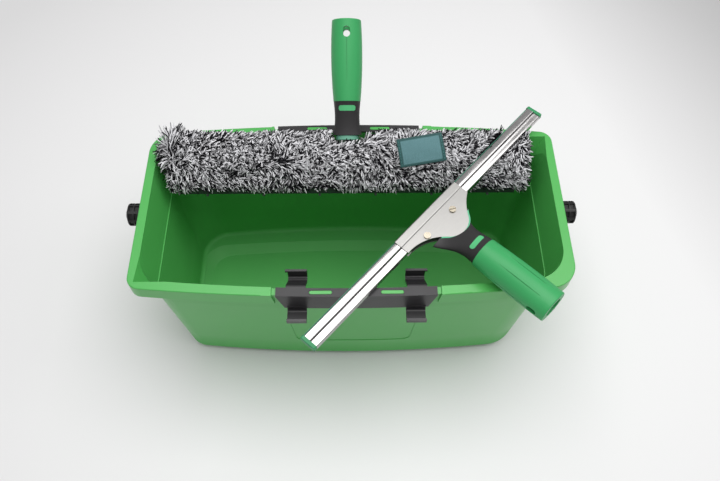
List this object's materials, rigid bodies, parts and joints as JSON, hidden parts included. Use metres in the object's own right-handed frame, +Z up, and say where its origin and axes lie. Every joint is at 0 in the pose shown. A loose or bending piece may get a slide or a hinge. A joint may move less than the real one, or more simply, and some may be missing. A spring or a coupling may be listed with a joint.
{
  "type": "window cleaning bucket set",
  "caption": "Oblong bucket with clip-on rim brackets and a bail, holding a strip washer and a channel squeegee whose grips take a pole.",
  "frame": {"origin": "centre of the bucket's base, on the floor", "axes": "+X along the bucket, +Y to the back where the washer's handle rises, +Z up"},
  "size_m": [0.586, 0.4278, 0.3647],
  "materials": {
    "bucket_plastic": "moulded, glossy",
    "bracket_plastic": "moulded, satin",
    "bail_plastic": "moulded, satin",
    "pin_plastic": "moulded, satin",
    "bar_plastic": "moulded, matt",
    "collar_plastic": "moulded, matt",
    "neck_plastic": "moulded, matt",
    "grip_plastic": "soft-touch, matt",
    "inlay_plastic": "moulded, matt",
    "screw_steel": "zinc plated",
    "pile_yarn": "looped yarn in light grey and near black",
    "label_cloth": "woven label, teal",
    "channel_steel": "bright drawn",
    "blade_rubber": "smooth",
    "clip_plastic": "moulded, matt",
    "clamp_steel": "brushed",
    "trim_plastic": "moulded, matt"
  },
  "bodies": {
    "root": {"bucket": "bucket_plastic", "front_bracket": "bracket_plastic", "rear_bracket": "bracket_plastic", "pivot_pins": "pin_plastic"},
    "bail": {"bail": "bail_plastic"},
    "washer": {"washer_t_bar": "bar_plastic", "washer_collar": "collar_plastic", "washer_neck": "neck_plastic", "washer_grip": "grip_plastic", "washer_inlay": "inlay_plastic", "washer_screw": "screw_steel", "washer_sleeve": "pile_yarn", "washer_label": "label_cloth"},
    "squeegee": {"clamp_top": "clamp_steel", "clamp_bottom": "clamp_steel", "clamp_screws": "screw_steel", "clamp_nuts": "screw_steel", "squeegee_neck": "neck_plastic", "squeegee_trim": "trim_plastic", "squeegee_grip": "grip_plastic", "squeegee_inlay": "inlay_plastic"},
    "blade": {"squeegee_channel": "channel_steel", "squeegee_rubber": "blade_rubber", "end_clip_left": "clip_plastic", "end_clip_right": "clip_plastic"}
  },
  "joints": [
    {"name": "bail_swing", "type": "hinge", "parent": "root", "child": "bail", "pos_m": [0, 0, 0.215], "axis": [1, 0, 0], "range_deg": [0, 58]},
    {"name": "washer_lift", "type": "slide", "parent": "root", "child": "washer", "axis": [0, 0, 1], "range_m": [0, 0.15]},
    {"name": "squeegee_lift", "type": "slide", "parent": "washer", "child": "squeegee", "axis": [0, 0, 1], "range_m": [0, 0.15]},
    {"name": "blade_slide", "type": "slide", "parent": "squeegee", "child": "blade", "axis": [0.6737, 0.7378, 0.0436], "range_m": [-0.05, 0.01]}
  ]
}
